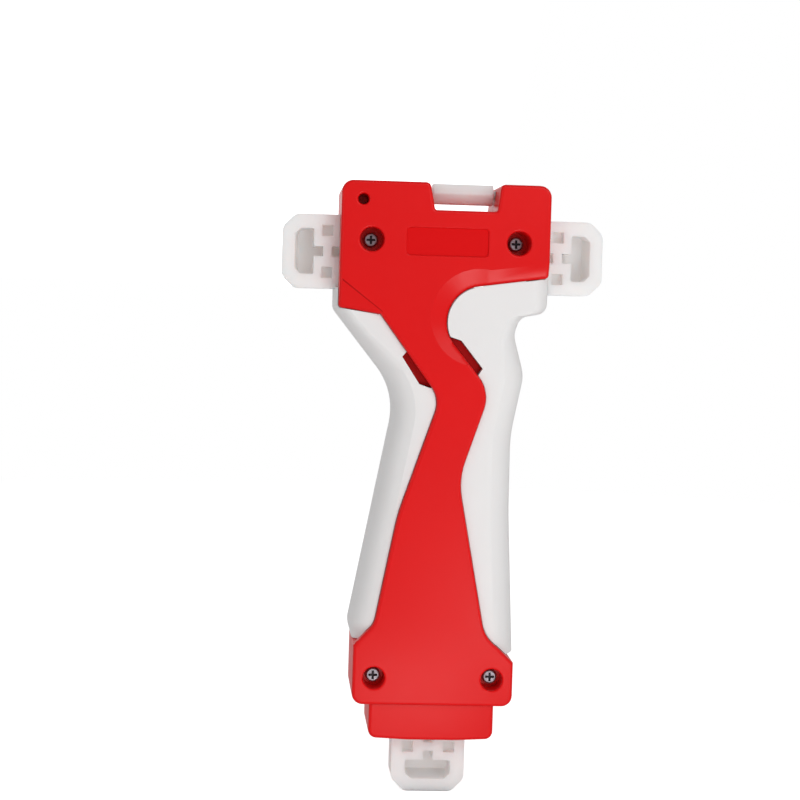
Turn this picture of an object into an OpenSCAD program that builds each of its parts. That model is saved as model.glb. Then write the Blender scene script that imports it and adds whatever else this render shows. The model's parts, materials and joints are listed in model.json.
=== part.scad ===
// Hand grip of a spinning top launcher. It stands upright: +Z runs up the
// handle to the T block, +X is to the right seen from the screw side, and the
// screw side faces -Y. The two halves of the grip meet at y = 0, and the tip of
// the bottom connector is at z = 0.

/* [Overall] */
// Thickness of the red covers from the screw side to the far side
grip_t = 24; // [22:0.5:30]
// Height of the handle between the foot and the T block
handle_h = 91; // [80:1:110]
// Wall of the red mouldings
cover_wall = 2.2; // [1.6:0.1:2.6]

/* [T block] */
// Width of the T block at the parting plane
block_w = 57.6; // [56:0.5:66]
// Height of the T block at its left side
block_h = 34.8; // [33:0.5:40]
// Radius of the two upper corners
block_corner_r = 3.2; // [2:0.1:5]
// Height of the right arm's lower edge above the T block's lower corner
arm_rise = 9.5; // [8:0.1:10]
// Radius of the hollow under the right arm
arm_hollow_r = 10; // [8:0.1:11]
// Width of the notch at its floor
notch_w = 17.1; // [15:0.1:20]
// Depth of the notch
notch_h = 7.5; // [7:0.1:9]
// Distance of the notch's middle right of the centre line
notch_x = 5.4; // [4:0.1:7]
// Width of the bare label recess
label_w = 22.4; // [16:0.5:24]
// Height of the bare label recess
label_h = 7.6; // [5:0.2:9]
// Depth of the bare label recess
label_depth = 0.5; // [0.3:0.1:0.8]
// Radius of the label recess's corners
label_corner_r = 1; // [0.5:0.1:2]

/* [Foot] */
// Width of the foot at the parting plane
foot_w = 44.4; // [42:0.5:50]
// Height of the foot above its step
foot_h = 18; // [15:0.5:22]
// Width of the step under the foot
step_w = 34.6; // [32:0.5:38]
// Height of the step under the foot
step_h = 10; // [8:0.2:13]
// How far the step's face lies back from the foot's face
step_drop = 1.5; // [1:0.1:2]

/* [White panels] */
// How far the white panels lie back from the red faces
panel_drop = 1.4; // [1:0.1:1.8]
// Wall of the white panels
panel_wall = 2.4; // [2:0.1:2.8]
// Width of the rounding along the panels' outer sides
panel_round = 8; // [6:0.2:9]
// Thickness of the red spine plate over the panels' lips
spine_t = 2.6; // [2.4:0.1:3]
// Width of the lip that each panel tucks under the spine
lip_w = 2.5; // [1.5:0.1:2.8]

/* [Connectors] */
// Width of a connector blade
blade_w = 20.5; // [19:0.1:21]
// Thickness of a connector blade
blade_t = 9.6; // [9:0.1:11]
// How far a connector stands out of its wall
blade_reach = 15.8; // [15:0.1:18]
// Cut of the two tip corners
blade_chamfer = 3.6; // [2:0.1:4]
// Radius that softens both ends of each cut
blade_corner_r = 3; // [1:0.1:3]
// Length of the latch window at its mouth
window_l = 5.2; // [5:0.1:6]
// Width of the latch window
window_w = 12.6; // [11:0.1:13]
// Depth of the latch window and of the slot behind it
window_depth = 7.6; // [7:0.1:8]
// Wall between the window's mouth and the tip
tip_wall = 3.5; // [2.5:0.1:4]
// Thickness of the shoulders behind the wall
shoulder_t = 1.3; // [1:0.1:1.5]
// How far each shoulder stands out beyond the blade
shoulder_reach = 2; // [1:0.1:2.5]

/* [Strap bar] */
// Width across the flats of the bar's six sides
bar_flats = 5.6; // [5:0.1:5.8]
// Diameter of the bar's two journals
journal_d = 2.6; // [2:0.1:3]
// Length of each journal beyond the notch wall
journal_l = 3.6; // [2.5:0.1:4.5]

/* [Screws] */
// Diameter of the screw heads
head_d = 4; // [3.6:0.1:4.4]
// Height of the screw heads
head_h = 1.7; // [1.2:0.1:2]
// Diameter of the screw shanks
shank_d = 2.6; // [2:0.1:2.8]
// Length of the screw shanks under the head
shank_l = 10; // [9:0.5:11]
// Diameter of the screw wells in the T block
block_well_d = 6.6; // [5:0.1:7]
// Depth of the screw heads' tops in the T block
block_well_depth = 6.5; // [5:0.1:7]
// Diameter of the screw wells in the foot
foot_well_d = 6; // [5:0.1:6.4]
// Depth of the screw heads' tops in the foot
foot_well_depth = 4.3; // [3.5:0.1:5]
// Diameter of the blind peg hole in the T block
peg_hole_d = 3; // [2.4:0.1:4.4]
// Depth of the blind peg hole
peg_hole_depth = 8; // [5:0.5:9]

/* [Hidden] */
$fn = 64;

red = [0.86, 0.11, 0.12];
white = [0.88, 0.87, 0.86];
milky = [0.90, 0.87, 0.86];
steel = [0.62, 0.62, 0.64];

// clearances: between mouldings, at a seat, at the turning bar, and at threads
fit = 0.15;
seam = 0.1;
bar_play = 0.06;
thread_play = 0.05;
// one overrun for every cut
over = 0.5;
// how far the sides of a rounded corner may lie inside its true arc
arc_error = 0.02;

// levels in y, counted from the parting plane towards a face
face_y = grip_t / 2;
skin_y = face_y - cover_wall;
spine_y = face_y - spine_t;
panel_y = face_y - panel_drop;
neck_drop = 3.6;
neck_t = 2.4;
neck_y = face_y - neck_drop;

// heights
step_z = blade_reach;
ledge_z = step_z + step_h;
handle_z = ledge_z + foot_h;
block_z = handle_z + handle_h;
top_z = block_z + block_h;
half_w = block_w / 2;

// connectors lie this far under the top edge of the T block
blade_below_top = 19.5;
blade_z = top_z - blade_below_top;

// the strap bar's upper flat stands a little over the top edge
bar_proud = 0.4;
bar_z = top_z + bar_proud - bar_flats / 2;
bar_end_gap = 0.3;

// screw places
block_screw_inset = 8.6;
block_screw_x = half_w - block_screw_inset;
block_screw_below_top = 16;
block_screw_z = top_z - block_screw_below_top;
foot_screw_inset = 5.9;
foot_screw_x = foot_w / 2 - foot_screw_inset;
foot_screw_rise = 7.4;
foot_screw_z = ledge_z + foot_screw_rise;
post_wall = 1;
seat_t = 2;
boss_d = 6.6;
pilot_over = 1;

// places of the peg hole and of the label recess
peg_inset = 6;
peg_below_top = 5.1;
peg_x = peg_inset - half_w;
peg_z = top_z - peg_below_top;
label_x = 0.5;
label_below_top = 16.2;
label_z = top_z - label_below_top;
peg_end_y = peg_hole_depth - face_y;

// locating pegs between the covers
dowel_d = 3;
dowel_l = 2.4;
dowel_wall = 1.4;
dowel_x = 8;
upper_dowel_below_top = 13;
lower_dowel_below_top = 21;
foot_dowel_rise = 9.6;
dowel_places = [
    [-dowel_x, top_z - upper_dowel_below_top],
    [dowel_x, top_z - lower_dowel_below_top],
    [dowel_x, ledge_z + foot_dowel_rise]
];

// ribs inside the covers
rib_t = 1.4;
stop_rib_w = 10;
stop_bite = 1.5;

// Planar helpers: points are [x, z] and corners are [x, z, radius]

function flat(v) = [v[0], v[1]];
function unit(v) = v / norm(v);
function wrap(a) = a > 180 ? a - 360 : a < -180 ? a + 360 : a;
function angle_of(v) = atan2(v[1], v[0]);

// centre of a circle of radius r that touches both legs of the corner b
function corner_centre(a, b, c, r) =
    let (
        back = unit(flat(a) - flat(b)),
        ahead = unit(flat(c) - flat(b))
    )
    flat(b) + unit(back + ahead) * r / sin(acos(back * ahead) / 2);

// an arc uses at most this share of the shorter leg beside its corner
leg_share = 0.98;

// points of the arc that rounds the corner b, coming from a and going to c
function corner_arc(a, b, c) =
    let (
        back = unit(flat(a) - flat(b)),
        ahead = unit(flat(c) - flat(b)),
        half = acos(back * ahead) / 2,
        leg = min(norm(flat(a) - flat(b)), norm(flat(c) - flat(b))),
        r = min(b[2], tan(half) * leg * leg_share),
        centre = corner_centre(a, b, c, r),
        from = angle_of(flat(b) + back * r / tan(half) - centre),
        sweep = wrap(angle_of(flat(b) + ahead * r / tan(half) - centre) - from),
        steps = ceil(abs(sweep) / 2 / acos(1 - arc_error / max(r, arc_error)))
    )
    r == 0 ? [flat(b)]
    : [for (i = [0:steps])
        let (turn = from + sweep * i / steps)
        centre + r * [cos(turn), sin(turn)]];

// the outline with its corners rounded
function rounded(corners) =
    let (n = len(corners))
    [for (i = [0:n - 1]) each corner_arc(corners[(i + n - 1) % n], corners[i], corners[(i + 1) % n])];

// a corner that is moved inwards keeps at least this share of its radius
least_arc_share = 0.2;

// the corners moved inwards by d, for corners that run anticlockwise
function inset(corners, d) =
    let (n = len(corners))
    [for (i = [0:n - 1])
        let (
            a = flat(corners[(i + n - 1) % n]),
            b = flat(corners[i]),
            c = flat(corners[(i + 1) % n]),
            e = unit(b - a),
            f = unit(c - b),
            ne = [-e[1], e[0]],
            nf = [-f[1], f[0]],
            bulge = e[0] * f[1] - e[1] * f[0],
            p = b + (ne + nf) * d / (1 + ne * nf),
            r = corners[i][2]
        )
        [p[0], p[1], r == 0 ? 0 : max(r - sign(bulge) * d, r * least_arc_share)]];

// a prism of the outline between two levels of y
module slab(points, y0, y1) {
    translate([0, y1, 0])
        rotate([90, 0, 0])
            linear_extrude(y1 - y0)
                polygon(points);
}

// a solid through rings of points, each ring a list of [x, y, z]
module skin(rings) {
    count = len(rings[0]);
    last = len(rings) - 1;
    sides = [for (i = [0:last - 1]) for (j = [0:count - 1])
        let (k = (j + 1) % count)
        each [
            [i * count + j, i * count + k, (i + 1) * count + k],
            [i * count + j, (i + 1) * count + k, (i + 1) * count + j]
        ]];
    ends = [
        [for (j = [count - 1:-1:0]) j],
        [for (j = [0:count - 1]) last * count + j]
    ];
    polyhedron([for (r = rings) each r], concat(sides, ends), convexity = 10);
}

// Outlines of the red mouldings

left_notch_lean = 1.5;
left_notch_lip_r = 1.4;
right_notch_lean = 0.9;
right_notch_lip_r = 1;
notch_floor_r = 0.7;
corner_soft_r = 1;
arm_lean = 4.2;
arm_root_x = 3;
neck_x = -2;
neck_rise = 1;
heel_x = -17.2;
heel_drop = 1.6;
// the spine's left edge runs on into the T block by this much
heel_lap_x = 2;
heel_lap_z = 2.6;

function block_outline() = [
    [-half_w, block_z, corner_soft_r],
    [heel_x, block_z - heel_drop, 0],
    [neck_x, block_z + neck_rise, corner_soft_r],
    [arm_root_x, arm_z(arm_root_x), corner_soft_r],
    [half_w, block_z + arm_rise, corner_soft_r],
    [half_w, top_z, block_corner_r],
    [notch_x + notch_w / 2 + right_notch_lean, top_z, right_notch_lip_r],
    [notch_x + notch_w / 2, top_z - notch_h, notch_floor_r],
    [notch_x - notch_w / 2, top_z - notch_h, notch_floor_r],
    [notch_x - notch_w / 2 - left_notch_lean, top_z, left_notch_lip_r],
    [-half_w, top_z, block_corner_r]
];

// the S-shaped spine in shares of the T block's half width and of the handle's
// height, each with its corner radius in shares of the hollow under the arm
spine_right_share = [
    [0.62, -0.13, 0],
    [0.74, -0.062, 0],
    [0.483, 0.022, 0.9],
    [0.193, 0.490, 2],
    [0.470, 0.757, 0.95]
];
spine_left_share = [
    [-0.010, 0.732, 0.75],
    [-0.380, 0.380, 5],
    [-0.577, 0.046, 0.6],
    [-0.755, -0.012, 0],
    [-0.62, -0.13, 0]
];
spine_hollow_x = -7.6;
spine_arm_x = 12;
spine_root_rise = 14;
spine_root_x = -22;

function from_share(s) = [s[0] * half_w, handle_z + s[1] * handle_h, s[2] * arm_hollow_r];

// height of the right arm's lower edge at x
function arm_z(x) = block_z + arm_rise - arm_lean * (half_w - x) / half_w;

// the hollow under the arm: the spine's edge, the sharp corner and the arm
hollow_legs = [
    from_share(spine_right_share[len(spine_right_share) - 1]),
    [spine_hollow_x, arm_z(spine_hollow_x)],
    [spine_arm_x, arm_z(spine_arm_x)]
];
hollow_mid = corner_centre(hollow_legs[0], hollow_legs[1], hollow_legs[2], arm_hollow_r);

function spine_outline() = concat(
    [for (s = spine_right_share) from_share(s)],
    [
        [spine_hollow_x, arm_z(spine_hollow_x), arm_hollow_r],
        [spine_arm_x, arm_z(spine_arm_x), 0],
        [spine_arm_x, block_z + spine_root_rise, 0],
        [spine_root_x, block_z + spine_root_rise, 0],
        [heel_x - heel_lap_x, block_z - heel_drop + heel_lap_z, 0]
    ],
    [for (s = spine_left_share) from_share(s)]
);

function label_outline() = [
    [label_x - label_w / 2, label_z - label_h / 2, label_corner_r],
    [label_x + label_w / 2, label_z - label_h / 2, label_corner_r],
    [label_x + label_w / 2, label_z + label_h / 2, label_corner_r],
    [label_x - label_w / 2, label_z + label_h / 2, label_corner_r]
];

foot_corner_r = 3;
step_corner_r = 2.2;
foot_top_right = 4.8;
foot_top_left = 1.5;
foot_shoulder = 4.6;
foot_crown = 3;

function foot_outline() = [
    [-foot_w / 2, ledge_z, foot_corner_r],
    [foot_w / 2, ledge_z, foot_corner_r],
    [foot_w / 2, handle_z - foot_top_right - corner_soft_r, 0],
    [foot_w / 2 - foot_shoulder, handle_z - foot_top_left, 0],
    [foot_w / 4, handle_z + foot_crown, 0],
    [-foot_w / 4, handle_z + foot_crown, 0],
    [-foot_w / 2, handle_z - foot_top_left, 0]
];

step_belly = 0.5;

function step_outline() = [
    [-step_w / 2, step_z + step_belly, step_corner_r],
    [-step_w / 5, step_z, step_w],
    [step_w / 5, step_z, step_w],
    [step_w / 2, step_z + step_belly, step_corner_r],
    [step_w / 2, ledge_z + foot_corner_r, 0],
    [-step_w / 2, ledge_z + foot_corner_r, 0]
];

// the plate at the neck whose ends show beside the spine, in the same shares
neck_share = [
    [-0.331, 0.873, 0],
    [-0.374, 0.856, 0],
    [-0.206, 0.776, 0],
    [-0.100, 0.765, 0],
    [0.345, 0.805, 0],
    [0.388, 0.826, 0],
    [0.180, 0.908, 0],
    [0.060, 0.920, 0]
];

function neck_outline() = [for (s = neck_share) from_share(s)];

// outer sides of the white panels from the top down, in the same shares
finger_side_share = [
    [-1.049, 1.060, 0],
    [-1.049, 0.996, 0.3],
    [-0.410, 0.745, 1.9],
    [-0.822, 0.040, 0.6],
    [-0.755, -0.035, 0]
];
palm_side_share = [
    [1.040, 1.115, 0],
    [1.040, 0.999, 0.32],
    [0.780, 0.984, 0.36],
    [0.726, 0.930, 0.6],
    [0.838, 0.806, 1],
    [0.726, 0.620, 4],
    [0.732, 0.390, 6],
    [0.806, -0.045, 0]
];
side_pitch = 4;

// points down an open side: its ends, its rounded corners and steps between
function side_points(shares) =
    let (
        c = [for (s = shares) from_share(s)],
        n = len(c),
        bends = [
            flat(c[0]),
            for (i = [1:n - 2]) each corner_arc(c[i - 1], c[i], c[i + 1]),
            flat(c[n - 1])
        ]
    )
    [for (i = [0:len(bends) - 1])
        each i == len(bends) - 1 ? [bends[i]]
        : let (gap = bends[i + 1] - bends[i], parts = ceil(norm(gap) / side_pitch))
            [for (k = [0:parts - 1]) bends[i] + gap * k / parts]];

// middle line of the rib inside the handle, in the same shares
rib_path_share = [
    [-0.03, -0.06], [-0.05, 0.10], [-0.045, 0.36], [-0.03, 0.49],
    [0.19, 0.745], [-0.10, 0.90], [-0.30, 1.03]
];

// the outline of a strip of the given width along a path of shares
function strip(shares, width) =
    let (
        p = [for (s = shares) flat(from_share(concat(s, [0])))],
        n = len(p),
        side = [for (i = [0:n - 1])
            let (t = unit(p[min(i + 1, n - 1)] - p[max(i - 1, 0)]))
            [t[1], -t[0]] * width / 2]
    )
    concat([for (i = [0:n - 1]) p[i] + side[i]], [for (i = [n - 1:-1:0]) p[i] - side[i]]);

// White panels

round_steps = 7;
// the rounding narrows to this share of its width under the T block
top_round_share = 0.55;
narrow_from_share = 0.82;
narrow_to_share = 0.94;

function round_width(z) = panel_round * lookup((z - handle_z) / handle_h, [
    [narrow_from_share, 1],
    [narrow_to_share, top_round_share]
]);

// one ring of a panel at the side point p; dir points from the side inwards
function panel_ring(p, dir, inner_x) =
    let (
        width = round_width(p[1]),
        outer = [for (i = [0:round_steps])
            let (a = 90 * i / round_steps)
            [p[0] + dir * width * (1 - cos(a)), -seam / 2 - (panel_y - seam / 2) * sin(a), p[1]]],
        rx = width - panel_wall,
        hollow = [for (i = [round_steps:-1:0])
            let (a = 90 * i / round_steps)
            [p[0] + dir * (panel_wall + rx * (1 - cos(a))),
             -seam / 2 - (panel_y - panel_wall - seam / 2) * sin(a), p[1]]]
    )
    concat(outer, [[inner_x, -panel_y, p[1]], [inner_x, -(panel_y - panel_wall), p[1]]], hollow);

// x of the lip's hidden edge under the spine, by height
function lip_x(shares, z, dir) =
    let (pts = [for (s = shares) [handle_z + s[1] * handle_h, s[0] * half_w]])
    lookup(z, pts) + dir * lip_w;

module panel_blank(side_share, edge_x, dir) {
    points = side_points(side_share);
    rings = [for (p = points) panel_ring(p, dir, edge_x(p[1]))];
    skin(dir > 0 ? rings : [for (i = [len(rings) - 1:-1:0]) rings[i]]);
}

// edges under the spine in shares, from the foot up
finger_edge_share = [
    [-0.60, -0.06], [-0.577, 0.058], [-0.380, 0.380], [-0.10, 0.660],
    [-0.08, 0.740], [-0.577, 0.985], [-0.60, 1.2]
];
palm_edge_share = [
    [0.60, -0.06], [0.46, 0.06], [0.20, 0.490], [0.39, 0.740],
    [0.03, 0.930], [0.05, 1.0], [0.10, 1.2]
];

module rear_side_panel(side_share, edge_share, dir) {
    difference() {
        panel_blank(side_share, function (z) lip_x(edge_share, z, dir), dir);
        slab(rounded(inset(spine_outline(), -fit)), -face_y - over, -(spine_y - fit));
        slab(rounded(inset(block_outline(), -fit)), -face_y - over, over);
        slab(rounded(inset(foot_outline(), -fit)), -face_y - over, over);
        slab(rounded(inset(neck_outline(), -fit)), -face_y - over, -(neck_y - neck_t - fit));
        connector_spaces();
    }
}

module rear_finger_panel() {
    color(white) rear_side_panel(finger_side_share, finger_edge_share, 1);
}

module front_finger_panel() {
    color(white) mirror([0, 1, 0]) rear_side_panel(finger_side_share, finger_edge_share, 1);
}

module rear_palm_panel() {
    color(white) rear_side_panel(palm_side_share, palm_edge_share, -1);
}

module front_palm_panel() {
    color(white) mirror([0, 1, 0]) rear_side_panel(palm_side_share, palm_edge_share, -1);
}

// Connectors

window_corner = 1.6;
window_outer_r = 1.2;
window_inner_r = 0.4;
window_slope = 0.9;
slot_l = 2.6;
slot_w = 2.7;
pocket = 3;
pocket_depth = 2.4;
pocket_offset = 5.8;
pocket_from_wall = 1.8;
mid_pocket_l = 2;
mid_pocket_w = 2.7;
neck_l = cover_wall + fit;
shoulder_y = blade_t / 2 + shoulder_reach;
shoulder_z = blade_w / 2 + shoulder_reach;

function blade_outline() = [
    [-neck_l, -blade_w / 2, 0],
    [blade_reach - blade_chamfer, -blade_w / 2, blade_corner_r],
    [blade_reach, blade_chamfer - blade_w / 2, blade_corner_r],
    [blade_reach, blade_w / 2 - blade_chamfer, blade_corner_r],
    [blade_reach - blade_chamfer, blade_w / 2, blade_corner_r],
    [-neck_l, blade_w / 2, 0]
];

window_out = blade_reach - tip_wall;
window_in = window_out - window_l;

function window_outline() = [
    [window_in, -window_w / 2, window_inner_r],
    [window_out - window_corner, -window_w / 2, window_outer_r],
    [window_out, window_corner - window_w / 2, window_outer_r],
    [window_out, window_w / 2 - window_corner, window_outer_r],
    [window_out - window_corner, window_w / 2, window_outer_r],
    [window_in, window_w / 2, window_inner_r]
];

// section of the window along the blade: its outer wall leans in to the floor
window_floor_y = window_depth - blade_t / 2;

function window_section() = [
    [window_in, -blade_t / 2 - over],
    [window_out, -blade_t / 2 - over],
    [window_out, -blade_t / 2],
    [window_out - window_slope, window_floor_y],
    [window_in, window_floor_y]
];

// a box from the rear face of the blade down to the given depth
module blade_pocket(x, z, length, width, depth) {
    translate([x, -blade_t / 2 - over, z - width / 2])
        cube([length, depth + over, width]);
}

// one connector, standing out along +X from a wall at x = 0
module connector() {
    color(milky) difference() {
        union() {
            slab(rounded(blade_outline()), -blade_t / 2, blade_t / 2);
            translate([-neck_l - shoulder_t, -shoulder_y, -shoulder_z])
                cube([shoulder_t, 2 * shoulder_y, 2 * shoulder_z]);
        }
        intersection() {
            slab(rounded(window_outline()), -blade_t / 2 - over, window_floor_y + over);
            translate([0, 0, -blade_w / 2])
                linear_extrude(blade_w)
                    polygon(window_section());
        }
        blade_pocket(window_in - slot_l, 0, slot_l + over, slot_w, window_depth);
        for (side = [-1, 1])
            blade_pocket(pocket_from_wall, side * pocket_offset, pocket, pocket, pocket_depth);
        blade_pocket(0, 0, mid_pocket_l, mid_pocket_w, pocket_depth);
    }
}

// the room that a connector takes up in the mouldings round it
module connector_room() {
    translate([-neck_l - fit, -blade_t / 2 - fit, -blade_w / 2 - fit])
        cube([neck_l + blade_chamfer + fit, blade_t + 2 * fit, blade_w + 2 * fit]);
    room_t = blade_t + 2 * (shoulder_reach + fit);
    room_w = blade_w + 2 * (shoulder_reach + fit);
    translate([-neck_l - shoulder_t - fit, -room_t / 2, -room_w / 2])
        cube([shoulder_t + 2 * fit, room_t, room_w]);
}

module at_right() {
    translate([half_w, 0, blade_z]) children();
}

module at_left() {
    translate([-half_w, 0, blade_z]) rotate([0, 180, 0]) children();
}

module at_bottom() {
    translate([0, 0, step_z]) rotate([0, 90, 0]) children();
}

module connector_spaces() {
    at_right() connector_room();
    at_left() connector_room();
    at_bottom() connector_room();
}

module left_connector() {
    at_left() connector();
}

module right_connector() {
    at_right() connector();
}

module bottom_connector() {
    at_bottom() connector();
}

// Strap bar

// the steeper wall of the notch limits the bar at its lowest flat
bar_gap_h = notch_h + bar_proud - bar_flats;
bar_l = notch_w + 2 * (right_notch_lean * bar_gap_h / notch_h - bar_end_gap);
bar_span = notch_w + 2 * (left_notch_lean + journal_l);
// distance across the corners of six equal sides as a share of the flats
corners_share = 2 / sqrt(3);

module strap_bar() {
    color(milky) translate([notch_x, 0, bar_z]) rotate([0, 90, 0]) {
        rotate([0, 0, 30])
            cylinder(d = bar_flats * corners_share, h = bar_l, center = true, $fn = 6);
        cylinder(d = journal_d, h = bar_span, center = true);
    }
}

// the bore that carries the bar's journals
module bar_bore() {
    translate([notch_x, 0, bar_z]) rotate([0, 90, 0])
        cylinder(d = journal_d + 2 * bar_play, h = bar_span + 2 * bar_end_gap, center = true);
}

// Screws

cross_w = 0.6;
cross_l = 2.4;
cross_depth = 1;
head_edge = 0.6;
head_edge_steps = 6;
tip_l = 1.4;

// a pan head screw with its head's seat at y = 0, driven along +Y
module screw() {
    color(steel) rotate([-90, 0, 0]) difference() {
        rotate_extrude() polygon(concat(
            [[0, -head_h]],
            [for (i = [0:head_edge_steps])
                let (a = 90 * i / head_edge_steps)
                [head_d / 2 - head_edge + head_edge * sin(a), -head_h + head_edge * (1 - cos(a))]],
            [
                [head_d / 2, 0],
                [shank_d / 2, 0],
                [shank_d / 2, shank_l - tip_l],
                [shank_d / 6, shank_l],
                [0, shank_l]
            ]
        ));
        for (turn = [0, 90])
            rotate([0, 0, turn])
                translate([-cross_l / 2, -cross_w / 2, -head_h - over])
                    cube([cross_l, cross_w, cross_depth + over]);
    }
}

block_seat_y = block_well_depth + head_h - face_y;
foot_seat_y = foot_well_depth + head_h - face_y;

module block_screw_left() {
    translate([-block_screw_x, block_seat_y, block_screw_z]) screw();
}

module block_screw_right() {
    translate([block_screw_x, block_seat_y, block_screw_z]) screw();
}

module foot_screw_left() {
    translate([-foot_screw_x, foot_seat_y, foot_screw_z]) screw();
}

module foot_screw_right() {
    translate([foot_screw_x, foot_seat_y, foot_screw_z]) screw();
}

// Covers

// a round post or bore along y between two levels
module along_y(x, z, d, y0, y1) {
    translate([x, y0, z]) rotate([-90, 0, 0]) cylinder(d = d, h = y1 - y0);
}

module at_screws(x, z) {
    for (side = [-1, 1]) translate([side * x, 0, z]) children();
}

cheek_drop = 2;
cheek_up = 8.3;
arm_band = 4.1;
arm_band_drop = 1.4;
hollow_band = 3.4;
hollow_band_shift = 1.3;

// a block whose upper face starts at the line from a to b on the face and falls
// away to its lower left by the slope
module sloping_cut(a, b, slope, before) {
    run = b - a;
    translate([a[0], -face_y, a[1]])
        rotate([0, -angle_of(run), 0])
            rotate([slope, 0, 0])
                translate([-before, -face_y, -block_h])
                    cube([norm(run) + before, face_y, block_h]);
}

// lowers the left cheek of the T block towards its lower corner
module cheek_cut() {
    up = [-half_w, block_z + cheek_up];
    low = [heel_x, block_z - heel_drop];
    run = low - up;
    corner_gap = cheek_up * run[0] / norm(run);
    sloping_cut(up, low, atan(cheek_drop / corner_gap), block_h);
}

// lowers a band along the right arm's lower edge and round the hollow under it
module arm_cut() {
    root = [hollow_mid[0], arm_z(hollow_mid[0]) + arm_band];
    tip = [half_w + over, arm_z(half_w + over) + arm_band];
    wide_r = arm_hollow_r + hollow_band;
    sloping_cut(root, tip, atan(arm_band_drop / arm_band), 0);
    translate([hollow_mid[0] - hollow_band_shift, -face_y, hollow_mid[1] + hollow_band_shift])
        rotate([-90, 0, 0])
            cylinder(r1 = wide_r, r2 = wide_r - 2 * arm_band, h = 2 * arm_band_drop);
}

// a rib behind a connector's shoulders, from the rear cover's wall
module stop_rib() {
    translate([-neck_l - shoulder_t - fit - rib_t, -skin_y - over, -stop_rib_w / 2])
        cube([rib_t, skin_y + over - blade_t / 2 - shoulder_reach + stop_bite, stop_rib_w]);
}

// the rear half of the red body without its holes
module half_body() {
    difference() {
        union() {
            slab(rounded(block_outline()), -face_y, 0);
            slab(rounded(foot_outline()), -face_y, 0);
            slab(rounded(spine_outline()), -face_y, -spine_y);
            slab(rounded(step_outline()), step_drop - face_y, 0);
            slab(rounded(neck_outline()), -neck_y, -(neck_y - neck_t));
        }
        cheek_cut();
        arm_cut();
        slab(rounded(inset(block_outline(), cover_wall)), -skin_y, over);
        slab(rounded(inset(foot_outline(), cover_wall)), -skin_y, over);
        slab(rounded(inset(step_outline(), cover_wall)), -(skin_y - step_drop), over);
    }
    slab(strip(rib_path_share, rib_t), -spine_y - over, -seam);
    for (p = dowel_places)
        along_y(p[0], p[1], dowel_d + 2 * (fit + dowel_wall), -skin_y - over, -seam);
    at_right() stop_rib();
    at_left() stop_rib();
    at_bottom() stop_rib();
}

module rear_cover() {
    color(red) difference() {
        union() {
            half_body();
            along_y(peg_x, peg_z, peg_hole_d + 2 * post_wall, -skin_y - over, peg_end_y + post_wall);
            at_screws(block_screw_x, block_screw_z)
                along_y(0, 0, block_well_d + 2 * post_wall, -skin_y - over, block_seat_y + seat_t);
            at_screws(foot_screw_x, foot_screw_z)
                along_y(0, 0, foot_well_d + 2 * post_wall, -skin_y - over, foot_seat_y + seat_t);
        }
        at_screws(block_screw_x, block_screw_z) {
            along_y(0, 0, block_well_d, -face_y - over, block_seat_y);
            along_y(0, 0, shank_d + 2 * fit, block_seat_y - over, block_seat_y + seat_t + over);
        }
        at_screws(foot_screw_x, foot_screw_z) {
            along_y(0, 0, foot_well_d, -face_y - over, foot_seat_y);
            along_y(0, 0, shank_d + 2 * fit, foot_seat_y - over, foot_seat_y + seat_t + over);
        }
        along_y(peg_x, peg_z, peg_hole_d, -face_y - over, peg_end_y);
        for (p = dowel_places)
            along_y(p[0], p[1], dowel_d + 2 * fit, -dowel_l - fit, over);
        slab(rounded(label_outline()), -face_y - over, label_depth - face_y);
        bar_bore();
        connector_spaces();
    }
}

// the bore in a boss that takes a screw's shank
module pilot(seat_y) {
    along_y(0, 0, shank_d + 2 * thread_play, seat_y + seat_t, seat_y + shank_l + pilot_over);
}

module front_cover() {
    color(red) difference() {
        union() {
            mirror([0, 1, 0]) half_body();
            for (p = dowel_places)
                along_y(p[0], p[1], dowel_d, -dowel_l, seam + over);
            at_screws(block_screw_x, block_screw_z)
                along_y(0, 0, boss_d, block_seat_y + seat_t + seam, skin_y + over);
            at_screws(foot_screw_x, foot_screw_z)
                along_y(0, 0, boss_d, foot_seat_y + seat_t + seam, skin_y + over);
        }
        at_screws(block_screw_x, block_screw_z)
            pilot(block_seat_y);
        at_screws(foot_screw_x, foot_screw_z)
            pilot(foot_seat_y);
        bar_bore();
        connector_spaces();
    }
}

rear_cover();
front_cover();
rear_finger_panel();
front_finger_panel();
rear_palm_panel();
front_palm_panel();
left_connector();
right_connector();
bottom_connector();
strap_bar();
block_screw_left();
block_screw_right();
foot_screw_left();
foot_screw_right();
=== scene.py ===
"""Looks of a spinning top launcher's hand grip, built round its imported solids.

The grip stands upright: +Z runs up the handle to the T block, +X is to the right seen from
the screw side, and the screw side faces -Y. All lengths are in metres in Blender and are
written here in millimetres times MM.
"""

import json
import logging
import math
from dataclasses import dataclass
from enum import Enum, IntEnum
from typing import Any, Callable, Iterable, Sequence

import bmesh
import bpy
from mathutils import Matrix, Vector

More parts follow.
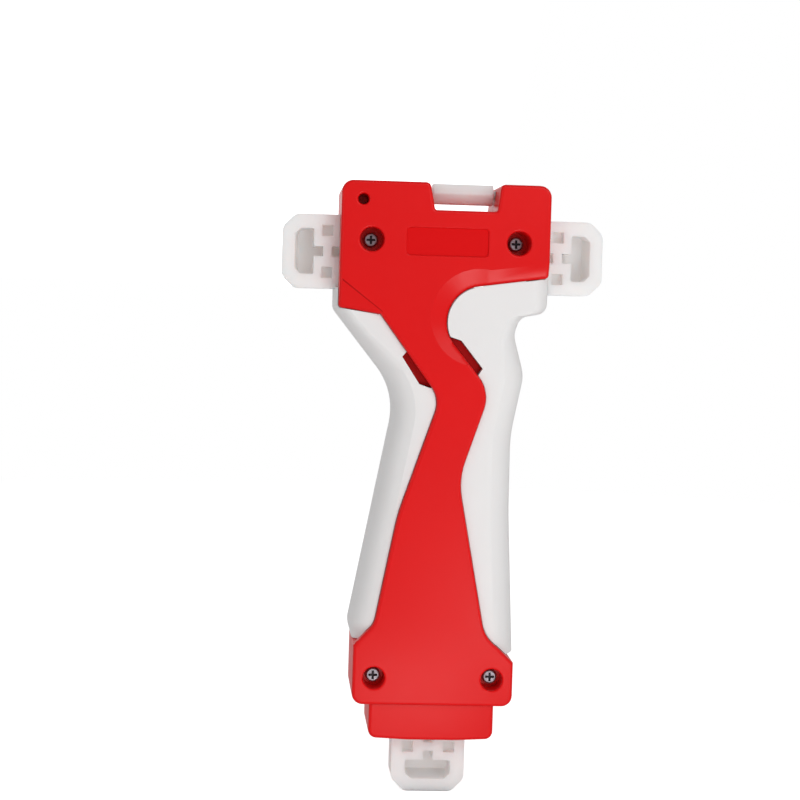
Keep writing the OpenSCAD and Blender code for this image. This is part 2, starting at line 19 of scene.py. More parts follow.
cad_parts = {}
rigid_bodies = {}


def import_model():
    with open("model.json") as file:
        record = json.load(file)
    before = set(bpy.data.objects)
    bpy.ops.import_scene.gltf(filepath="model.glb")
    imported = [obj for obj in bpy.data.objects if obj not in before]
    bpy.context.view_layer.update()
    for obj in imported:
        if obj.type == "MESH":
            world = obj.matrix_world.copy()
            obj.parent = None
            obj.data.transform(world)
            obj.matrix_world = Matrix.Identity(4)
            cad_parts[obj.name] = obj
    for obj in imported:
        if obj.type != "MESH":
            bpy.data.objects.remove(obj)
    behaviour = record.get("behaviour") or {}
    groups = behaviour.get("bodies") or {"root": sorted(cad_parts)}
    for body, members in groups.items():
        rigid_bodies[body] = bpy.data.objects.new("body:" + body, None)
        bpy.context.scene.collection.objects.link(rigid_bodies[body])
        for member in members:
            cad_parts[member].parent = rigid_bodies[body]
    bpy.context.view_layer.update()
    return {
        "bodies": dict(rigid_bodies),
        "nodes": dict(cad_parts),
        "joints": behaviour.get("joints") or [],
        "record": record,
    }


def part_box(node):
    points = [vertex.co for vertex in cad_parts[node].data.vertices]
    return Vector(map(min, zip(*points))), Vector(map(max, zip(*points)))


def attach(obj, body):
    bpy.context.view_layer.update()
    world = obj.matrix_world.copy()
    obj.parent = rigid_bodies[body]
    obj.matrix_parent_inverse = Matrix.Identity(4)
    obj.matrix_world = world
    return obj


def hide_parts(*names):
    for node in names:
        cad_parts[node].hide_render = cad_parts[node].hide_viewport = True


LOG = logging.getLogger("grip")
MM = 0.001
# points of a solid closer than this are one point
MERGE = 0.002 * MM
# face layer that marks the faces made by a rounding
ROUNDING = "rounding"
# a face looks outward where its normal's y is over this, and is a wall where it is near zero
OUTWARD = 0.8

SCREWS = ("block_screw_left", "block_screw_right", "foot_screw_left", "foot_screw_right")
CONNECTORS = ("left_connector", "right_connector", "bottom_connector")
PANELS = ("rear_finger_panel", "front_finger_panel", "rear_palm_panel", "front_palm_panel")
PEG_HOLE = "peg_hole"

Point = tuple[float, float]
Place = tuple[float, float, float]


class Side(Enum):
    """The two sides of the parting plane, with the sign of y on each."""

    REAR = -1
    FRONT = 1


class Slot(Enum):
    """The record's material slots."""

    RED = "red_moulding"
    WHITE = "white_panel"
    MILKY = "milky_plastic"
    STEEL = "screw_steel"


class Skin(IntEnum):
    """The finishes of a cover, as material indices of its mesh."""

    SHELL = 0
    FLOOR = 1
    # painted shade: the darker red on the neck plate and along the cheek's crease
    PLATE = 2


# Colours and node trees


def linear(code: str) -> tuple[float, float, float, float]:
    """Turns an sRGB hex colour to linear light.

    Args:
        code: six hex digits, such as "d8262a".

    Returns:
        The red, green, blue and alpha values that a shader socket takes.
    """
    parts = [int(code[i : i + 2], 16) / 255 for i in (0, 2, 4)]
    light = [c / 12.92 if c <= 0.04045 else ((c + 0.055) / 1.055) ** 2.4 for c in parts]
    return (light[0], light[1], light[2], 1.0)


class Tree:
    """A material's node tree, with one function that adds a node."""

    def __init__(self, name: str) -> None:
        """Starts an empty material.

        Args:
            name: the material's name.
        """
        self.material = bpy.data.materials.new(name)
        self.material.use_nodes = True
        self.nodes = self.material.node_tree.nodes
        self.links = self.material.node_tree.links
        self.nodes.clear()

    def add(self, kind: str, settings: dict[str, Any] | None = None, **inputs: Any) -> Any:
        """Adds a node, sets its properties and fills or links its inputs.

        Args:
            kind: the node's type, such as "ShaderNodeMix".
            settings: properties of the node itself.
            **inputs: values or output sockets by input name, with _ for a space.

        Returns:
            The new node.
        """
        node = self.nodes.new(kind)
        for key, value in (settings or {}).items():
            setattr(node, key, value)
        for key, value in inputs.items():
            socket = node.inputs[int(key[1:])] if key[1:].isdigit() else node.inputs[key.replace("_", " ")]
            if isinstance(value, bpy.types.NodeSocket):
                self.links.new(value, socket)
            else:
                socket.default_value = value
        return node

    def close(self, shader: Any) -> bpy.types.Material:
        """Links the last shader to the output.

        Args:
            shader: the node whose first output is the surface.

        Returns:
            The finished material.
        """
        output = self.add("ShaderNodeOutputMaterial")
        self.links.new(shader.outputs[0], output.inputs["Surface"])
        return self.material


def per_mm(size: float) -> float:
    """The scale that gives a noise pattern features of the given size in millimetres."""
    return 1 / (size * MM)


@dataclass(frozen=True)
class MouldedPlastic:
    """Injection moulded plastic with a fine texture from the tool.

    Attributes:
        name: the material's name.
        colour: sRGB hex of the plain surface.
        shade: sRGB hex of the slightly darker flow marks.
        roughness: how satin the surface is.
        grain: size of the tool's texture in millimetres.
        relief: height of that texture in millimetres.
        flow: size of the soft colour variation in millimetres.
        ior: refractive index of the plastic.
        gloss: the shader's specular level, 0.5 for a polished face.
        milk: how far light is scattered under the surface, from 0 to 1.
        depth: scatter distance in millimetres.
        scatter: how far red, green and blue light go, as shares of that distance.
        patch_share: size of the satin patches as a share of the flow marks.
        polish: how far the roughness falls where the tool was polished.
        wear: how far it rises where the tool was worn.
        strength: strength of the texture's relief.
    """

    name: str
    colour: str
    shade: str
    roughness: float
    grain: float = 0.5
    relief: float = 0.006
    flow: float = 26.0
    ior: float = 1.53
    gloss: float = 0.5
    milk: float = 0.0
    depth: float = 1.0
    scatter: Place = (1.0, 0.82, 0.75)
    patch_share: float = 1 / 6
    polish: float = 0.04
    wear: float = 0.05
    strength: float = 0.35

    def build(self) -> bpy.types.Material:
        """Builds the node tree and returns the material."""
        tree = Tree(self.name)
        place = tree.add("ShaderNodeTexCoord").outputs["Object"]
        soft = tree.add("ShaderNodeTexNoise", Vector=place, Scale=per_mm(self.flow), Detail=2.0)
        colour = tree.add(
            "ShaderNodeMix",
            {"data_type": "RGBA"},
            _0=soft.outputs["Fac"],
            _6=linear(self.colour),
            _7=linear(self.shade),
        )
        patches = per_mm(self.flow * self.patch_share)
        patch = tree.add("ShaderNodeTexNoise", Vector=place, Scale=patches, Detail=3.0)
        rough = tree.add(
            "ShaderNodeMapRange",
            Value=patch.outputs["Fac"],
            To_Min=self.roughness - self.polish,
            To_Max=self.roughness + self.wear,
        )
        fine = tree.add("ShaderNodeTexNoise", Vector=place, Scale=per_mm(self.grain), Detail=3.0)
        bump = tree.add(
            "ShaderNodeBump",
            Strength=self.strength,
            Distance=self.relief * MM,
            Height=fine.outputs["Fac"],
        )
        shader = tree.add(
            "ShaderNodeBsdfPrincipled",
            Base_Color=colour.outputs[2],
            Roughness=rough.outputs["Result"],
            IOR=self.ior,
            Specular_IOR_Level=self.gloss,
            Normal=bump.outputs["Normal"],
        )
        if self.milk:
            shader.inputs["Subsurface Weight"].default_value = self.milk
            shader.inputs["Subsurface Radius"].default_value = self.scatter
            shader.inputs["Subsurface Scale"].default_value = self.depth * MM
        return tree.close(shader)


@dataclass(frozen=True)
class PlatedSteel:
    """Zinc plated steel, pressed and turned.

    Attributes:
        name: the material's name.
        colour: sRGB hex of the plating.
        stain: sRGB hex where the plating is dull.
        painted_recess_shade: sRGB hex of the painted shade in the drive recess.
        roughness: how blurred its reflections are.
        patch: size of the dull patches in millimetres.
        bright: how far the roughness falls where the plating is bright.
        worn: how far it rises where the plating is dull.
    """

    name: str
    colour: str
    stain: str
    painted_recess_shade: str
    roughness: float
    patch: float = 1.2
    bright: float = 0.08
    worn: float = 0.12

    def build(self) -> bpy.types.Material:
        """Builds the node tree and returns the material."""
        tree = Tree(self.name)
        place = tree.add("ShaderNodeTexCoord").outputs["Object"]
        dull = tree.add("ShaderNodeTexNoise", Vector=place, Scale=per_mm(self.patch), Detail=4.0)
        plated = tree.add(
            "ShaderNodeMix",
            {"data_type": "RGBA"},
            _0=dull.outputs["Fac"],
            _6=linear(self.colour),
            _7=linear(self.stain),
        )
        # painted shade: the faces of the drive recess take the dark recess colour
        recess = tree.add("ShaderNodeAttribute", {"attribute_name": "recess"})
        colour = tree.add(
            "ShaderNodeMix",
            {"data_type": "RGBA"},
            _0=recess.outputs["Fac"],
            _6=plated.outputs[2],
            _7=linear(self.painted_recess_shade),
        )
        rough = tree.add(
            "ShaderNodeMapRange",
            Value=dull.outputs["Fac"],
            To_Min=self.roughness - self.bright,
            To_Max=self.roughness + self.worn,
        )
        shader = tree.add(
            "ShaderNodeBsdfPrincipled",
            Base_Color=colour.outputs[2],
            Roughness=rough.outputs["Result"],
            Metallic=1.0,
        )
        return tree.close(shader)


# The finishes of the grip

# red ABS, moulded: a clear warm red with a satin skin that blurs reflections
RED_ABS = MouldedPlastic("Moulded red ABS", "e10608", "da0407", 0.32, gloss=0.2)
# the label recess: the same ABS with a duller, slightly deeper red floor
RED_FLOOR = MouldedPlastic("Moulded red ABS, dull", "dd0307", "d60306", 0.45, gloss=0.1)
# white ABS, moulded: cool off-white, softer than the red, hardly any gloss
WHITE_ABS = MouldedPlastic("Moulded white ABS", "e9e8e7", "e5e3e3", 0.5, gloss=0.4, milk=0.12, depth=0.8)
# polypropylene without pigment: milky, lets light into its thin walls
MILKY_PP = MouldedPlastic(
    "Milky polypropylene", "f6f3f1", "f1edeb", 0.36, flow=14.0, ior=1.49, milk=0.85, depth=8.0
)
# painted shade: the neck plate behind the spine and the thin line along the cheek's crease get this much
# darker red in place of the shade there; the plastic is the same red ABS
RED_PAINTED_SHADE = MouldedPlastic("Moulded red ABS, painted shade", "b40305", "ac0205", 0.45, gloss=0.1)
# zinc plated steel: grey with bright edges, with painted shade in the drive recess
ZINC_STEEL = PlatedSteel("Zinc plated steel", "b2afb6", "86848c", "3a3438", 0.45)


# Mesh helpers


def new_piece(name: str, bm: bmesh.types.BMesh, finish: bpy.types.Material) -> bpy.types.Object:
    """Makes an object of a bmesh, in place and with its finish.

    Args:
        name: the piece's name.
        bm: the mesh, which is freed.
        finish: the piece's material.

    Returns:
        The new object, at the origin.
    """
    mesh = bpy.data.meshes.new(name)
    bm.to_mesh(mesh)
    bm.free()
    mesh.materials.append(finish)
    piece = bpy.data.objects.new(name, mesh)
    bpy.context.scene.collection.objects.link(piece)
    return piece


def soften(piece: bpy.types.Object, sharp_over: float = 38.0, crease_over: float = 10.0) -> None:
    """Shades a piece smooth, keeps its edges and creases crisp and evens its normals.

    Args:
        piece: the finished piece.
        sharp_over: edges over this angle in degrees stay crisp.
        crease_over: the same for edges between two outward faces that aren't roundings.
    """
    bm = bmesh.new()
    bm.from_mesh(piece.data)
    rounding = bm.faces.layers.int.get(ROUNDING)
    for face in bm.faces:
        face.smooth = True
    for edge in bm.edges:
        plain = all(abs(f.normal.y) > OUTWARD and not (rounding and f[rounding]) for f in edge.link_faces)
        limit = crease_over if plain else sharp_over
        edge.smooth = abs(turned_angle(edge)) < limit
    bm.to_mesh(piece.data)
    bm.free()
    even = piece.modifiers.new("even_normals", "WEIGHTED_NORMAL")
    even.keep_sharp = True
    even.weight = 60


def merged(
    node: bpy.types.Object, flat_angle: float = 0.4, reach: float = MERGE
) -> bmesh.types.BMesh:
    """A clean copy of a solid's mesh, with its points merged and its planes made whole.

    Args:
        node: the solid's object, which stays as it is.
        flat_angle: faces within this angle in degrees become one.
        reach: points closer than this in metres become one.

    Returns:
        The copy as a bmesh.
    """
    bm = bmesh.new()
    bm.from_mesh(node.data)
    bmesh.ops.remove_doubles(bm, verts=bm.verts, dist=reach)
    bmesh.ops.dissolve_degenerate(bm, edges=bm.edges, dist=reach)
    bmesh.ops.dissolve_limit(
        bm,
        angle_limit=math.radians(flat_angle),
        use_dissolve_boundaries=False,
        verts=bm.verts,
        edges=bm.edges,
        delimit={"NORMAL"},
    )
    bm.normal_update()
    return bm


def round_edges(
    bm: bmesh.types.BMesh,
    wanted: Callable[[bmesh.types.BMEdge], bool],
    width: float,
    segments: int,
    clamp: bool = False,
    index: int | None = None,
) -> int:
    """Bevels the edges that a test picks.

    Args:
        bm: the mesh.
        wanted: says whether an edge is rounded.
        width: width of the rounding in metres.
        segments: faces across the rounding.
        clamp: whether the width gives way where edges lie close together.
        index: material index of the new faces, or None to keep their neighbours'.

    Returns:
        How many edges were rounded.
    """
    mark = bm.faces.layers.int.get(ROUNDING) or bm.faces.layers.int.new(ROUNDING)
    edges = [e for e in bm.edges if len(e.link_faces) == 2 and wanted(e)]
    if edges:
        made = bmesh.ops.bevel(
            bm,
            geom=edges,
            offset=width,
            offset_type="OFFSET",
            segments=segments,
            profile=0.5,
            affect="EDGES",
            clamp_overlap=clamp,
            material=-1,
        )
        for face in made["faces"]:
            face[mark] = 1
            if index is not None:
                face.material_index = index
    return len(edges)


def keep_within(bm: bmesh.types.BMesh, low: Vector, high: Vector) -> None:
    """Brings points that a rounding threw out back to the solid's box.

    Args:
        bm: the mesh.
        low: the box's lowest corner.
        high: the box's highest corner.
    """
    for vert in bm.verts:
        vert.co = [min(max(vert.co[i], low[i]), high[i]) for i in range(3)]


def turned_angle(edge: bmesh.types.BMEdge) -> float:
    """The angle in degrees between an edge's two faces, positive where it is convex."""
    return math.degrees(edge.calc_face_angle_signed(0.0))


def hand_in(
    piece: bpy.types.Object, body: str, nodes: Iterable[str]
) -> bpy.types.Object:
    """Rides a piece on its body and hides the solids that it replaces.

    Args:
        piece: the finished piece.
        body: the body's name.
        nodes: the solids that the piece replaces.

    Returns:
        The same piece.
    """
    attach(piece, body)
    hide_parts(*nodes)
    return piece


@dataclass
class Covers:
    """The two red half shells, with soft rims round their faces.

    Attributes:
        finish: the red shell.
        floor_finish: the label recess's floor.
        painted_shade_finish: painted shade, a much darker red, on the neck plate and along the cheek's
            crease.
        wells: x and z of the wells and the peg hole.
        reach: points of the solid closer than this become one.
        skin: an outline's edges lie less deep under the face than this.
        rim: rounding round the faces' outlines.
        rim_angle: edges over this angle in degrees belong to an outline.
        mouth: rounding of the wells' and the peg hole's mouths.
        mouth_reach: a mouth's edges lie this close to its axis.
        label_rim: rounding of the label recess's rim.
        label_low: x and z under which no edge of the label recess lies.
        label_high: x and z over which none lies.
        floor_from: the label recess's floor lies deeper than this.
        floor_to: and less deep than this.
        plate_depth: how far the neck plate lies under the face.
        crease: width of the dull line along the cheek's crease.
        crease_angles: the crease's edges turn by an angle in degrees between these.
        cheek_low: x and z of the cheek's box, its lowest corner.
        cheek_high: and its highest.
        parting: bevel of the outer walls where the two covers meet.
        parting_angle: the walls' edges there turn by more than this, in degrees.
        plane: points closer than this to the parting plane lie on it.
        flat: a face whose normal's y is over this lies level.
    """

    finish: bpy.types.Material
    floor_finish: bpy.types.Material
    painted_shade_finish: bpy.types.Material
    wells: list[Point]
    reach: float = 0.08 * MM
    skin: float = 2.0 * MM
    rim: float = 0.9 * MM
    rim_angle: float = 40.0
    mouth: float = 0.6 * MM
    mouth_reach: float = 3.6 * MM
    label_rim: float = 0.35 * MM
    label_low: Point = (-12.0 * MM, 148.0 * MM)
    label_high: Point = (13.0 * MM, 159.0 * MM)
    floor_from: float = 0.3 * MM
    floor_to: float = 1.0 * MM
    plate_depth: float = 3.6 * MM
    # crease: width of the painted shade line along the cheek's crease.
    crease: float = 0.22 * MM
    crease_angles: Point = (10.0, 25.0)
    cheek_low: Point = (-30.0 * MM, 125.0 * MM)
    cheek_high: Point = (-8.0 * MM, 146.0 * MM)
    parting: float = 0.18 * MM
    parting_angle: float = 60.0
    plane: float = 0.01 * MM
    flat: float = 0.99

    def near_well(self, edge: bmesh.types.BMEdge) -> bool:
        """Says whether an edge belongs to the mouth of a well or of the peg hole."""
        middle = (edge.verts[0].co + edge.verts[1].co) / 2
        return any(math.hypot(middle.x - x, middle.z - z) < self.mouth_reach for x, z in self.wells)

    def in_label(self, point: Vector) -> bool:
        """Says whether a point lies over the bare label recess."""
        across = self.label_low[0] < point.x < self.label_high[0]
        return across and self.label_low[1] < point.z < self.label_high[1]

    def on_label(self, edge: bmesh.types.BMEdge) -> bool:
        """Says whether an edge belongs to the bare label recess."""
        return self.in_label((edge.verts[0].co + edge.verts[1].co) / 2)

    def on_rim(self, edge: bmesh.types.BMEdge, side: Side) -> bool:
        """Says whether an edge joins an outward face to a wall, along the outside."""
        facing = [f for f in edge.link_faces if f.normal.y * side.value > OUTWARD]
        walls = [f for f in edge.link_faces if abs(f.normal.y) < 1 - OUTWARD]
        return len(facing) == 1 and len(walls) == 1 and turned_angle(edge) > self.rim_angle

    def on_crease(self, edge: bmesh.types.BMEdge, mark: Any) -> bool:
        """Says whether an edge is the crease between the T block's face and its cheek."""
        middle = (edge.verts[0].co + edge.verts[1].co) / 2
        inside = self.cheek_low[0] < middle.x < self.cheek_high[0]
        inside = inside and self.cheek_low[1] < middle.z < self.cheek_high[1]
        outward = all(abs(f.normal.y) > OUTWARD and not f[mark] for f in edge.link_faces)
        least, most = self.crease_angles
        return inside and outward and least < turned_angle(edge) < most

    def on_parting(self, edge: bmesh.types.BMEdge, mark: Any) -> bool:
        """Says whether an edge ends an outer wall, one with a rounded rim, on the parting plane."""
        walls = [f for f in edge.link_faces if abs(f.normal.y) < 1 - OUTWARD]
        if len(walls) != 1 or any(abs(v.co.y) > self.plane for v in edge.verts):
            return False
        near = [f for e in walls[0].edges for f in e.link_faces]
        return turned_angle(edge) > self.parting_angle and any(f[mark] for f in near)

    def round_outlines(self, bm: bmesh.types.BMesh, name: str, side: Side, outer: float) -> None:
        """Rounds a cover's outlines, mouths and label rim, opens its seam, and gives a thin strip along
        the crease painted shade.

        Args:
            bm: the cover's mesh.
            name: the cover's name, for the log.
            side: which cover.
            outer: y of its outward face, without its sign.
        """

        def outside(edge: bmesh.types.BMEdge) -> bool:
            near = all(abs(v.co.y) > outer - self.skin for v in edge.verts)
            return near and self.on_rim(edge, side)

        def plain(edge: bmesh.types.BMEdge) -> bool:
            return outside(edge) and not self.near_well(edge) and not self.on_label(edge)

        rims = round_edges(bm, plain, self.rim, 4)
        mouths = round_edges(bm, lambda e: outside(e) and self.near_well(e), self.mouth, 3)
        marks = round_edges(bm, lambda e: outside(e) and self.on_label(e), self.label_rim, 3)
        LOG.info("%s: %d rim, %d mouth, %d label edges", name, rims, mouths, marks)
        mark = bm.faces.layers.int.get(ROUNDING)
        seams = round_edges(bm, lambda e: self.on_parting(e, mark), self.parting, 1)
        # a thin bevel along the cheek's crease that takes the darker red as a painted shade line
        creases = round_edges(bm, lambda e: self.on_crease(e, mark), self.crease, 1, index=Skin.PLATE)
        LOG.info("%s: %d seam and %d crease edges", name, seams, creases)

    def pick_finishes(self, bm: bmesh.types.BMesh, side: Side, outer: float) -> None:
        """Gives the label recess's floor its own finish, and gives the neck plate the darker red of
        painted shade.

        Args:
            bm: the cover's mesh.
            side: which cover.
            outer: y of its outward face, without its sign.
        """
        for face in bm.faces:
            if face.normal.y * side.value <= self.flat:
                continue
            middle = face.calc_center_median()
            depth = outer - abs(middle.y)
            if self.floor_from < depth < self.floor_to and self.in_label(middle):
                face.material_index = Skin.FLOOR
            # the neck plate's faces take the darker red as painted shade
            elif abs(depth - self.plate_depth) < self.floor_from:
                face.material_index = Skin.PLATE

    def build(self, frame: dict[str, Any], side: Side) -> bpy.types.Object:
        """Builds one cover from its solid.

        Args:
            frame: the loaded frame.
            side: which cover.

        Returns:
            The finished cover.
        """
        name = f"{side.name.lower()}_cover"
        low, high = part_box(name)
        outer = max(abs(low.y), abs(high.y))
        bm = merged(frame["nodes"][name], reach=self.reach)
        self.round_outlines(bm, name, side, outer)
        self.pick_finishes(bm, side, outer)
        keep_within(bm, low, high)
        piece = new_piece(f"{name}_shell", bm, self.finish)
        piece.data.materials.append(self.floor_finish)
        # the darker red of painted shade, for the neck plate and the crease line
        piece.data.materials.append(self.painted_shade_finish)
        soften(piece)
        return hand_in(piece, "grip", [name])


@dataclass
class Panels:
    """The four white side panels.

    Attributes:
        finish: the white plastic.
        plane_angle: faces within this angle in degrees become one.
        rim_angle: edges over this angle in degrees stay crisp.
        flat: faces whose normal's y is over this stay whole.
    """

    finish: bpy.types.Material
    plane_angle: float = 0.2
    rim_angle: float = 50.0
    flat: float = 0.9999

    def build(self, frame: dict[str, Any], name: str) -> bpy.types.Object:
        """Builds one panel from its solid.

        Args:
            frame: the loaded frame.
            name: the panel's name.

        Returns:
            The finished panel.
        """
        bm = merged(frame["nodes"][name], self.plane_angle)
        curved = [f for f in bm.faces if len(f.verts) > 4 and abs(f.normal.y) < self.flat]
        bmesh.ops.triangulate(bm, faces=curved)
        piece = new_piece(f"{name}_skin", bm, self.finish)
        soften(piece, self.rim_angle)
        return hand_in(piece, "grip", [name])


@dataclass
class Screws:
    """The four pan head screws, with a bright head and painted shade in the cross recess.

    Attributes:
        finish: the plated steel.
        edge: rounding of the edges.
        edge_angle: edges over this angle in degrees are rounded.
        crisp_over: edges over this angle in degrees stay crisp.
        recess_from: the recess faces that get painted shade lie deeper than this under the head's top.
        recess_to: and less deep than this.
        recess_reach: they lie this close to the screw's axis.
    """

    finish: bpy.types.Material
    edge: float = 0.07 * MM
    edge_angle: float = 50.0
    crisp_over: float = 30.0
    recess_from: float = 0.5 * MM
    recess_to: float = 1.5 * MM
    recess_reach: float = 1.3 * MM

    def build(self, frame: dict[str, Any], name: str) -> bpy.types.Object:
        """Builds one screw from its solid.

        Args:
            frame: the loaded frame.
            name: the screw's name.

        Returns:
            The finished screw.
        """
        low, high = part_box(name)
        axis = ((low.x + high.x) / 2, (low.z + high.z) / 2)
        bm = merged(frame["nodes"][name])
        round_edges(bm, lambda e: abs(turned_angle(e)) > self.edge_angle, self.edge, 2, clamp=True)
        keep_within(bm, low, high)
        piece = new_piece(f"{name}_head", bm, self.finish)
        # marks the drive recess faces that get painted shade
        shade = piece.data.attributes.new("recess", "FLOAT", "FACE")
        for face in piece.data.polygons:
            near = math.hypot(face.center.x - axis[0], face.center.z - axis[1]) < self.recess_reach
            deep = self.recess_from < face.center.y - low.y < self.recess_to
            shade.data[face.index].value = float(near and deep)
        soften(piece, self.crisp_over)
        return hand_in(piece, "grip", [name])


@dataclass
class Connectors:
    """The three pale plug blades.

    Attributes:
        finish: the milky plastic.
        edge: rounding of the edges.
        edge_angle: edges over this angle in degrees are rounded.
    """

    finish: bpy.types.Material
    edge: float = 0.35 * MM
    edge_angle: float = 25.0

    def build(self, frame: dict[str, Any], name: str) -> bpy.types.Object:
        """Builds one connector from its solid, with soft edges.

        Args:
            frame: the loaded frame.
            name: the connector's name.

        Returns:
            The finished connector.
        """
        bm = merged(frame["nodes"][name])
        bent = self.edge_angle
        count = round_edges(bm, lambda e: abs(turned_angle(e)) > bent, self.edge, 3, clamp=True)
        LOG.info("%s: %d edges rounded", name, count)
        piece = new_piece(f"{name}_blade", bm, self.finish)
        soften(piece)
        return hand_in(piece, "grip", [name])


@dataclass
class StrapBar:
    """The turning bar in the notch.

    Attributes:
        finish: the milky plastic.
        edge: rounding of the hexagon's edges.
        edge_angle: edges over this angle in degrees are rounded.
    """

    finish: bpy.types.Material
    edge: float = 0.3 * MM
    edge_angle: float = 25.0

    def build(self, frame: dict[str, Any]) -> bpy.types.Object:
        """Builds the bar from its solid, with soft edges.

        Args:
            frame: the loaded frame.

        Returns:
            The finished bar.
        """
        bm = merged(frame["nodes"]["strap_bar"])
        round_edges(bm, lambda e: turned_angle(e) > self.edge_angle, self.edge, 3, clamp=True)
        piece = new_piece("strap_bar_hexagon", bm, self.finish)
        soften(piece)
        return hand_in(piece, "strap_bar", ["strap_bar"])


@dataclass(frozen=True)
class Viewpoint:
    """The camera of the photograph.

    Attributes:
        place: where it stands.
        yaw: turn to the right of +Y, in degrees.
        pitch: tilt above the horizon, in degrees.
        roll: lean to the left, in degrees.
        sensor: width of the sensor in millimetres.
        lens: focal length on that sensor.
        shift: shares of the frame by which the picture is shifted.
        reach: the nearest and farthest distance that it sees.
    """

    place: Vector = Vector((-46.2 * MM, -452.0 * MM, 134.0 * MM))
    yaw: float = 3.07
    pitch: float = -1.75
    roll: float = 1.67
    sensor: float = 36.0
    lens: float = 72.72
    shift: Point = (0.05, -0.05)
    reach: Point = (0.01, 50.0)

    def build(self) -> bpy.types.Object:
        """Makes the camera and returns it."""
        data = bpy.data.cameras.new("photo_camera")
        data.sensor_width = self.sensor
        data.lens = self.lens
        data.shift_x, data.shift_y = self.shift
        data.clip_start, data.clip_end = self.reach
        camera = bpy.data.objects.new("photo_camera", data)
        bpy.context.scene.collection.objects.link(camera)
        turn = (
            Matrix.Rotation(math.radians(-self.yaw), 4, "Z")
            @ Matrix.Rotation(math.radians(90 + self.pitch), 4, "X")
            @ Matrix.Rotation(math.radians(self.roll), 4, "Z")
        )
        camera.matrix_world = Matrix.Translation(self.place) @ turn
        bpy.context.scene.camera = camera
        return camera


@dataclass(frozen=True)
class Lamp:
    """A soft studio lamp.

    Attributes:
        name: the lamp's name.
        place: where it stands, in metres.
        size: side of the square panel in metres.
        power: its power in watts.
        aim: the point it shines at.
        hidden: whether only its light shows, as of a card beside the camera's view.
    """

    name: str
    place: Place
    size: float
    power: float
    aim: Place = (0.0, 0.0, 0.09)
    hidden: bool = False

    def build(self) -> bpy.types.Object:
        """Makes the lamp and aims it."""
        data = bpy.data.lights.new(self.name, "AREA")
        data.shape = "SQUARE"
        data.size = self.size
        data.energy = self.power
        lamp = bpy.data.objects.new(self.name, data)
        bpy.context.scene.collection.objects.link(lamp)
        lamp.location = self.place
        beam = Vector(self.aim) - Vector(self.place)
        lamp.rotation_euler = beam.to_track_quat("-Z", "Y").to_euler()
        lamp.visible_camera = not self.hidden
        return lamp


# the soft key, high on the right, near enough that the T block gets a little more than the foot
KEY = Lamp("key_right", place=(0.36, -0.72, 0.52), size=0.54, power=2.15)
# the weak fill that keeps the left panel and the left walls from going grey
FILL = Lamp("fill_left", place=(-0.6, -0.5, 0.25), size=0.5, power=0.6)
# the lamp for the far side
BACK = Lamp("back", place=(-0.3, 1.2, 0.7), size=1.2, power=3.0)
# a bright card on the floor, mirrored by the sloping band under the right arm
ARM_CARD = Lamp(
    "arm_card", place=(0.08, -0.225, 0.003), size=0.09, power=0.29, aim=(0.08, -0.225, 1.0), hidden=True
)
# a small card that lights the windows of the bottom connector
FOOT_CARD = Lamp(
    "foot_card", place=(0.0, -0.08, 0.006), size=0.04, power=0.013, aim=(0.0, 0.0, 0.004), hidden=True
)


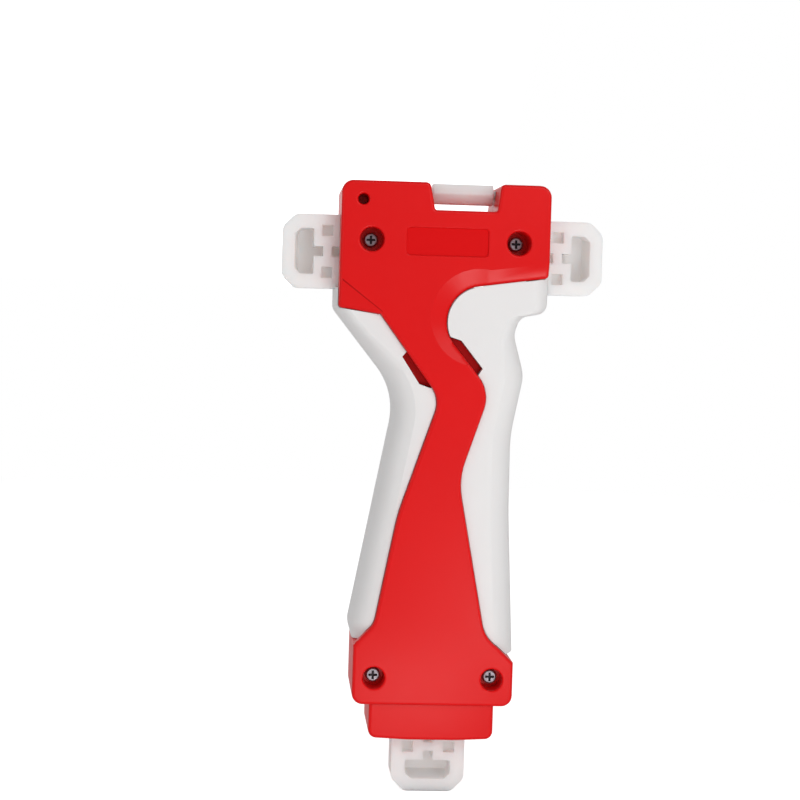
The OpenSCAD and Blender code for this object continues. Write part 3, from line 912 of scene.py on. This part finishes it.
@dataclass
class Studio:
    """The pale floor, the white surroundings and the lamps.

    Attributes:
        lamps: the lamps and cards.
        world_light: the surroundings' strength as a light.
        floor_size: side of the floor in metres.
        floor_paint: how much light the floor gives back.
        floor_glow: what is added where the camera sees the floor, so that it is nearly white.
        shadow_reach: from the first to the second distance in metres the floor turns plain white.
    """

    lamps: Sequence[Lamp] = (KEY, FILL, BACK, ARM_CARD, FOOT_CARD)
    world_light: float = 0.48
    floor_size: float = 12.0
    floor_paint: float = 0.9
    floor_glow: float = 0.6
    shadow_reach: Point = (0.3, 0.8)

    def build(self) -> None:
        """Builds the studio."""
        self.build_world()
        self.build_floor()
        for lamp in self.lamps:
            lamp.build()

    def build_world(self) -> None:
        """A world that is white to the camera and softer as a light."""
        world = bpy.data.worlds.new("studio_world")
        world.use_nodes = True
        nodes, links = world.node_tree.nodes, world.node_tree.links
        nodes.clear()
        path = nodes.new("ShaderNodeLightPath")
        seen = nodes.new("ShaderNodeMath")
        seen.operation = "MAXIMUM"
        links.new(path.outputs["Is Camera Ray"], seen.inputs[0])
        links.new(path.outputs["Is Transmission Ray"], seen.inputs[1])
        strength = nodes.new("ShaderNodeMapRange")
        strength.inputs["To Min"].default_value = self.world_light
        strength.inputs["To Max"].default_value = 1.0
        links.new(seen.outputs[0], strength.inputs["Value"])
        background = nodes.new("ShaderNodeBackground")
        background.inputs["Color"].default_value = linear("ffffff")
        links.new(strength.outputs["Result"], background.inputs["Strength"])
        output = nodes.new("ShaderNodeOutputWorld")
        links.new(background.outputs[0], output.inputs["Surface"])
        bpy.context.scene.world = world

    def build_floor(self) -> None:
        """A floor that is white where nothing shades it, and keeps the grip's shadow."""
        tree = Tree("Pale studio floor")
        path = tree.add("ShaderNodeLightPath")
        seen = tree.add(
            "ShaderNodeMath",
            {"operation": "MAXIMUM"},
            _0=path.outputs["Is Camera Ray"],
            _1=path.outputs["Is Transmission Ray"],
        )
        away = tree.add(
            "ShaderNodeVectorMath",
            {"operation": "LENGTH"},
            _0=tree.add("ShaderNodeTexCoord").outputs["Object"],
        )
        fade = tree.add(
            "ShaderNodeMapRange",
            Value=away.outputs["Value"],
            From_Min=self.shadow_reach[0],
            From_Max=self.shadow_reach[1],
        )
        paint = (self.floor_paint, self.floor_paint, self.floor_paint, 1.0)
        matt = tree.add("ShaderNodeBsdfDiffuse", Color=paint)
        glow = tree.add("ShaderNodeEmission", Color=linear("ffffff"), Strength=self.floor_glow)
        plain = tree.add("ShaderNodeEmission", Color=linear("ffffff"), Strength=1.0)
        both = tree.add("ShaderNodeAddShader", _0=matt.outputs[0], _1=glow.outputs[0])
        ground = tree.add(
            "ShaderNodeMixShader",
            _0=fade.outputs["Result"],
            _1=both.outputs[0],
            _2=plain.outputs[0],
        )
        pick = tree.add(
            "ShaderNodeMixShader",
            _0=seen.outputs[0],
            _1=matt.outputs[0],
            _2=ground.outputs[0],
        )
        bm = bmesh.new()
        bmesh.ops.create_grid(bm, x_segments=2, y_segments=2, size=self.floor_size / 2)
        floor = new_piece("floor", bm, tree.close(pick))


def build_grip(frame: dict[str, Any]) -> None:
    """Builds the looks of all the grip's pieces.

    Args:
        frame: the loaded frame.
    """
    red, white, milky, steel = (f.build() for f in (RED_ABS, WHITE_ABS, MILKY_PP, ZINC_STEEL))
    wells: list[Point] = []
    for name in SCREWS:
        low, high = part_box(name)
        wells.append(((low.x + high.x) / 2, (low.z + high.z) / 2))
        Screws(steel).build(frame, name)
    peg = next(m for m in frame["record"]["mounts"] if m["name"] == PEG_HOLE)
    wells.append((peg["pos_m"][0], peg["pos_m"][2]))
    covers = Covers(red, RED_FLOOR.build(), RED_PAINTED_SHADE.build(), wells)
    for side in Side:
        covers.build(frame, side)
    for name in CONNECTORS:
        Connectors(milky).build(frame, name)
    StrapBar(milky).build(frame)
    for name in PANELS:
        Panels(white).build(frame, name)


def main() -> None:
    """Builds the grip's looks, the studio and the camera."""
    logging.basicConfig(level=logging.INFO, format="%(name)s: %(message)s")
    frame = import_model()
    build_grip(frame)
    Studio().build()
    Viewpoint().build()
    bpy.context.scene.view_settings.view_transform = "Standard"


if __name__ == "__main__":
    main()
